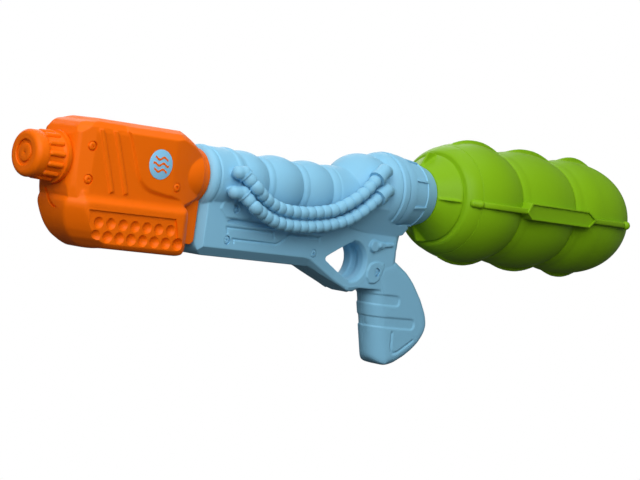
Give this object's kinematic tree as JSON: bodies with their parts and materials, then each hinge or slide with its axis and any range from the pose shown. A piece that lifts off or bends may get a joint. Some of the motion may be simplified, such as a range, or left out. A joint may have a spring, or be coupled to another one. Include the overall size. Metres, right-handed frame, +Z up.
{
  "type": "water squirter",
  "caption": "Long toy water squirter with a pump fore-end sliding on a ribbed barrel, a finger-hole pistol grip and a lobed tank held by a collar nut.",
  "frame": {"origin": "Middle of the nozzle's front face, on the barrel's axis", "axes": "+X runs back along the barrel from the nozzle to the tank, +Y across to the toy's right side, +Z up; the pistol grip points down"},
  "size_m": [0.6995, 0.1152, 0.2081],
  "materials": {
    "orange_plastic": "satin",
    "blue_plastic": "satin",
    "green_plastic": "satin",
    "badge_blue": "satin",
    "grey_plastic": "satin",
    "rubber": "matte",
    "seal_rubber": "matte",
    "orange_screw": "satin",
    "blue_screw": "satin"
  },
  "bodies": {
    "body": {"body_left_shell": "blue_plastic", "body_right_shell": "blue_plastic", "body_screws": "blue_screw", "rod_bush": "grey_plastic", "pump_cylinder": "grey_plastic", "bumper_ring": "rubber", "inlet_manifold": "grey_plastic", "inlet_flap": "rubber", "inlet_stud": "grey_plastic", "upper_hose": "blue_plastic", "lower_hose": "blue_plastic", "tank_gasket": "rubber", "suction_tube": "grey_plastic", "suction_filter": "grey_plastic"},
    "foreend": {"foreend_left_shell": "orange_plastic", "foreend_right_shell": "orange_plastic", "foreend_screws": "orange_screw", "badge": "badge_blue", "rod_nose": "orange_plastic", "piston_rod": "grey_plastic", "piston_head": "rubber", "piston_seal": "seal_rubber", "outlet_valve": "rubber"},
    "cap": {"nozzle_cap": "orange_plastic", "nozzle_insert": "orange_plastic", "nozzle_seal": "rubber"},
    "tank": {"tank": "green_plastic"},
    "collar": {"tank_collar": "blue_plastic"}
  },
  "joints": [
    {"name": "pump_slide", "type": "slide", "parent": "body", "child": "foreend", "axis": [-1, 0, 0], "range_m": [0, 0.11]},
    {"name": "nozzle_turn", "type": "hinge", "parent": "foreend", "child": "cap", "pos_m": [0.015, 0, 0], "axis": [-1, 0, 0], "range_deg": [-720, 0]},
    {"name": "tank_pull", "type": "slide", "parent": "body", "child": "tank", "axis": [1, 0, 0], "range_m": [0, 0.2]},
    {"name": "collar_turn", "type": "hinge", "parent": "tank", "child": "collar", "pos_m": [0.4, 0, 0.0096], "axis": [1, 0, 0], "continuous": true}
  ]
}
